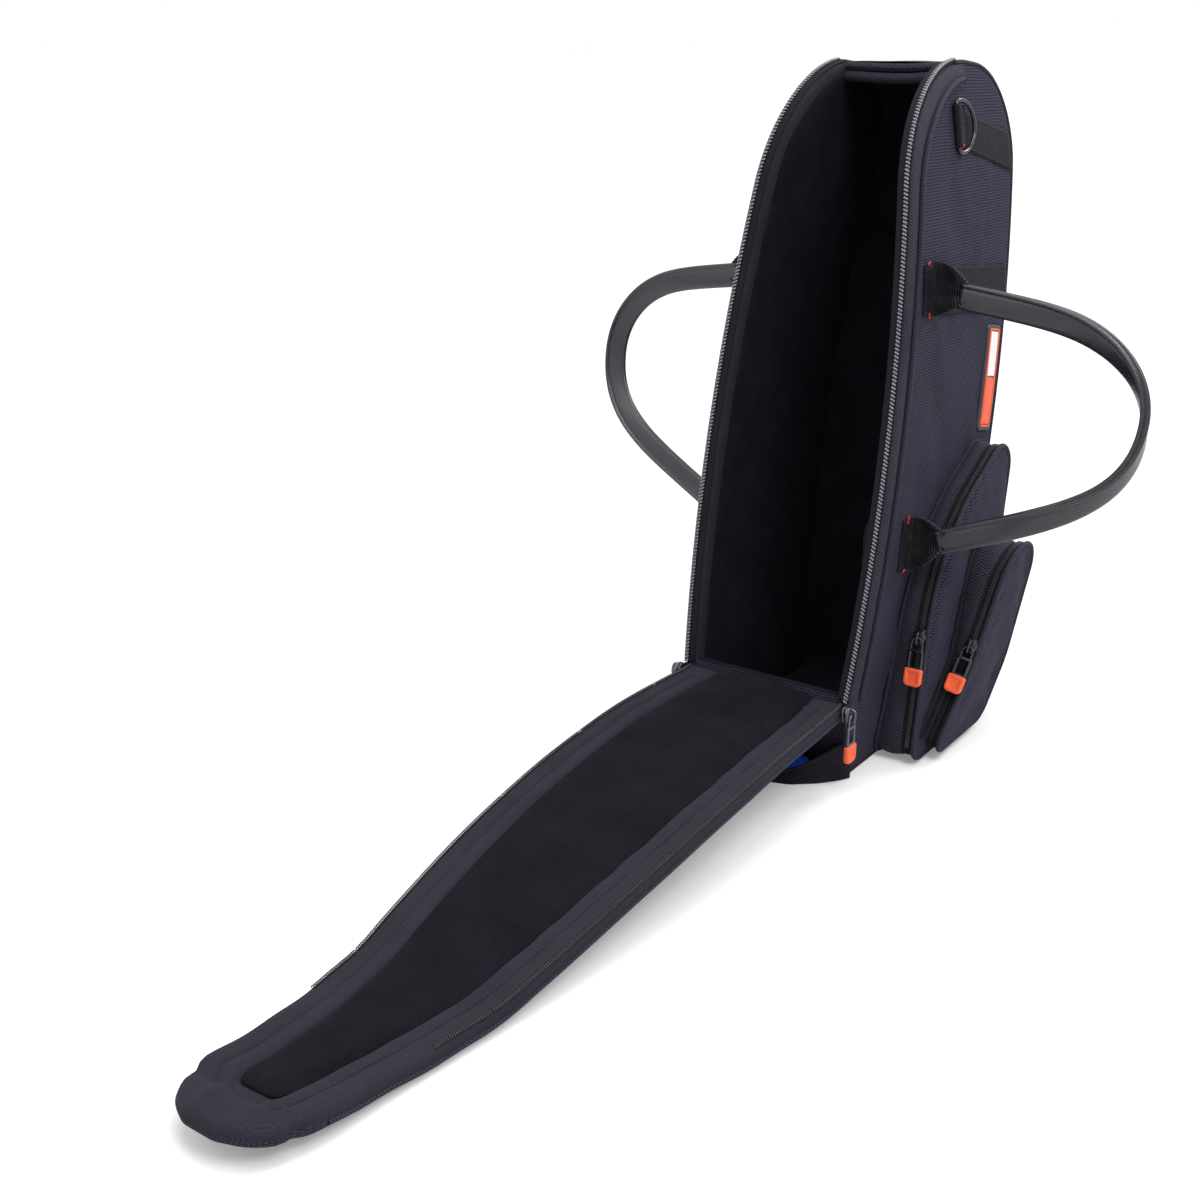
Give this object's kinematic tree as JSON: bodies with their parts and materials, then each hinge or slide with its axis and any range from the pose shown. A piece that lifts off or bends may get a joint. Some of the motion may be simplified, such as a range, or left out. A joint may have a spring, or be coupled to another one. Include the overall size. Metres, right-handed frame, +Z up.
{
  "type": "trumpet gig bag",
  "caption": "Tall slim padded instrument bag standing on its base, its zipped front flap laid open on the floor, with side handles and side pockets.",
  "frame": {"origin": "middle of the flat underside of the base", "axes": "+Z up, -Y towards the mouth and the opened flap, +X towards the wall that carries the pockets"},
  "size_m": [0.5034, 0.8689, 0.5503],
  "materials": {
    "shell_fabric": "coarse woven nylon, matt with a faint sheen",
    "plush": "short deep pile, almost no gloss",
    "webbing": "ribbed woven tape, matt",
    "zipper_coil": "satin nylon coil on matt tape",
    "piping": "covered cord, matt",
    "handle_wrap": "smooth coated wrap with a soft sheen",
    "black_metal": "gloss black",
    "orange_rubber": "matt moulded rubber",
    "badge_rubber": "matt moulded rubber",
    "rain_fabric": "thin coated nylon, crumpled, slight gloss"
  },
  "bodies": {
    "case": {"right_side_wall": "shell_fabric", "right_side_lining": "plush", "right_rim_zipper": "zipper_coil", "right_wall_piping": "piping", "right_webbing": "webbing", "right_ring_keeper": "webbing", "left_side_wall": "shell_fabric", "left_side_lining": "plush", "left_rim_zipper": "zipper_coil", "left_wall_piping": "piping", "left_webbing": "webbing", "left_ring_keeper": "webbing", "base_panel": "shell_fabric", "back_panel": "shell_fabric", "top_panel": "shell_fabric", "inner_lining": "plush", "bell_pad": "plush", "badge": "badge_rubber", "rain_cover_pouch": "shell_fabric", "rain_cover": "rain_fabric", "large_pocket_gusset": "shell_fabric"},
    "flap_1": {"flap_panel_1": "shell_fabric", "flap_lining_1": "plush"},
    "flap_2": {"flap_panel_2": "shell_fabric", "flap_lining_2": "plush"},
    "flap_3": {"flap_panel_3": "shell_fabric", "flap_lining_3": "plush"},
    "flap_4": {"flap_panel_4": "shell_fabric", "flap_lining_4": "plush"},
    "flap_5": {"flap_panel_5": "shell_fabric", "flap_lining_5": "plush"},
    "flap_6": {"flap_panel_6": "shell_fabric", "flap_lining_6": "plush"},
    "flap_7": {"flap_panel_7": "shell_fabric", "flap_lining_7": "plush"},
    "flap_8": {"flap_panel_8": "shell_fabric", "flap_lining_8": "plush"},
    "right_handle": {"right_handle_tabs": "webbing", "right_handle_grip": "handle_wrap"},
    "right_ring": {"right_d_ring": "black_metal"},
    "left_handle": {"left_handle_tabs": "webbing", "left_handle_grip": "handle_wrap"},
    "left_ring": {"left_d_ring": "black_metal"},
    "large_door": {"large_pocket_face": "shell_fabric", "small_pocket_gusset": "shell_fabric"},
    "small_door": {"small_pocket_face": "shell_fabric"},
    "right_slider": {"right_zipper_slider": "black_metal"},
    "right_pull": {"right_zipper_pull": "black_metal", "right_zipper_tip": "orange_rubber"},
    "left_slider": {"left_zipper_slider": "black_metal"},
    "left_pull": {"left_zipper_pull": "black_metal", "left_zipper_tip": "orange_rubber"},
    "large_slider": {"large_pocket_slider": "black_metal"},
    "large_pull": {"large_pocket_pull": "black_metal", "large_pocket_tip": "orange_rubber"},
    "small_slider": {"small_pocket_slider": "black_metal"},
    "small_pull": {"small_pocket_pull": "black_metal", "small_pocket_tip": "orange_rubber"}
  },
  "joints": [
    {"name": "flap_hinge", "type": "hinge", "parent": "case", "child": "flap_1", "pos_m": [0, -0.10905, 0.07351], "axis": [-1, 0, 0], "range_deg": [0, 101.13]},
    {"name": "flap_bend_2", "type": "hinge", "parent": "flap_1", "child": "flap_2", "pos_m": [0, -0.20673, 0.05405], "axis": [-1, 0, 0], "range_deg": [0, 5.55]},
    {"name": "flap_bend_3", "type": "hinge", "parent": "flap_2", "child": "flap_3", "pos_m": [0, -0.30405, 0.04383], "axis": [-1, 0, 0], "range_deg": [0, 3.55]},
    {"name": "flap_bend_4", "type": "hinge", "parent": "flap_3", "child": "flap_4", "pos_m": [0, -0.40055, 0.02768], "axis": [-1, 0, 0], "range_deg": [0, 3.11]},
    {"name": "flap_bend_5", "type": "hinge", "parent": "flap_4", "child": "flap_5", "pos_m": [0, -0.49606, 0.0064], "axis": [-1, 0, 0], "range_deg": [0, 3.74]},
    {"name": "flap_bend_6", "type": "hinge", "parent": "flap_5", "child": "flap_6", "pos_m": [0, -0.54737, 0.00191], "axis": [-1, 0, 0], "range_deg": [0, 15.55]},
    {"name": "flap_bend_7", "type": "hinge", "parent": "flap_6", "child": "flap_7", "pos_m": [0, -0.59884, 0.00371], "axis": [-1, 0, 0], "range_deg": [0, 18.95]},
    {"name": "flap_bend_8", "type": "hinge", "parent": "flap_7", "child": "flap_8", "pos_m": [0, -0.6501, 0.00873], "axis": [-1, 0, 0], "range_deg": [0, 17.55]},
    {"name": "right_handle_swing", "type": "hinge", "parent": "case", "child": "right_handle", "pos_m": [0.08315, -0.0175, 0.285], "axis": [-0.0366, 0.1264, 0.9913], "range_deg": [-75, 20]},
    {"name": "left_handle_swing", "type": "hinge", "parent": "case", "child": "left_handle", "pos_m": [-0.08315, -0.0175, 0.285], "axis": [0.0366, 0.1264, 0.9913], "range_deg": [-40, 90]},
    {"name": "right_ring_swing", "type": "hinge", "parent": "case", "child": "right_ring", "pos_m": [0.06345, 0.051, 0.5], "axis": [0.15, 0, -0.9887], "range_deg": [0, 150]},
    {"name": "left_ring_swing", "type": "hinge", "parent": "case", "child": "left_ring", "pos_m": [-0.06345, 0.051, 0.5], "axis": [0.15, 0, 0.9887], "range_deg": [0, 150]},
    {"name": "large_pocket_door", "type": "hinge", "parent": "case", "child": "large_door", "pos_m": [0.1, 0.038, 0.004], "axis": [0, 1, 0], "range_deg": [0, 20]},
    {"name": "small_pocket_door", "type": "hinge", "parent": "large_door", "child": "small_door", "pos_m": [0.113, 0.033, 0.009], "axis": [0, 1, 0], "range_deg": [0, 22]},
    {"name": "right_slider_travel", "type": "hinge", "parent": "case", "child": "right_slider", "pos_m": [-1.88498, -0.08261, 0.21567], "axis": [0, -0.9828, 0.1845], "range_deg": [0, 11.28]},
    {"name": "right_pull_swing", "type": "hinge", "parent": "right_slider", "child": "right_pull", "pos_m": [0.08247, -0.11077, 0.06569], "axis": [0, -1, 0], "range_deg": [0, 160]},
    {"name": "left_slider_travel", "type": "hinge", "parent": "case", "child": "left_slider", "pos_m": [1.88498, -0.08261, 0.21567], "axis": [0, 0.9828, -0.1845], "range_deg": [0, 11.28]},
    {"name": "left_pull_swing", "type": "hinge", "parent": "left_slider", "child": "left_pull", "pos_m": [-0.08247, -0.11077, 0.06569], "axis": [0, 1, 0], "range_deg": [0, 160]},
    {"name": "large_slider_travel", "type": "hinge", "parent": "case", "child": "large_slider", "pos_m": [0.1002, 0.11872, 0.09063], "axis": [-1, 0, 0], "range_deg": [0, 50]},
    {"name": "large_pull_swing", "type": "hinge", "parent": "large_slider", "child": "large_pull", "pos_m": [0.1002, -0.03629, 0.11107], "axis": [-1, 0, 0], "range_deg": [0, 150]},
    {"name": "small_slider_travel", "type": "slide", "parent": "large_door", "child": "small_slider", "axis": [0.147, 0.2447, 0.9584], "range_m": [0, 0.0467]},
    {"name": "small_pull_swing", "type": "hinge", "parent": "small_slider", "child": "small_pull", "pos_m": [0.1261, 0.00971, 0.0947], "axis": [-0.9891, 0.0364, 0.1424], "range_deg": [0, 150]}
  ],
  "couplings": [
    {"joint": "flap_bend_2", "follows": "flap_hinge", "ratio": 0.054383},
    {"joint": "flap_bend_3", "follows": "flap_hinge", "ratio": 0.034608},
    {"joint": "flap_bend_4", "follows": "flap_hinge", "ratio": 0.030242},
    {"joint": "flap_bend_5", "follows": "flap_hinge", "ratio": 0.036501},
    {"joint": "flap_bend_6", "follows": "flap_hinge", "ratio": 0.15326},
    {"joint": "flap_bend_7", "follows": "flap_hinge", "ratio": 0.18688},
    {"joint": "flap_bend_8", "follows": "flap_hinge", "ratio": 0.17304}
  ]
}
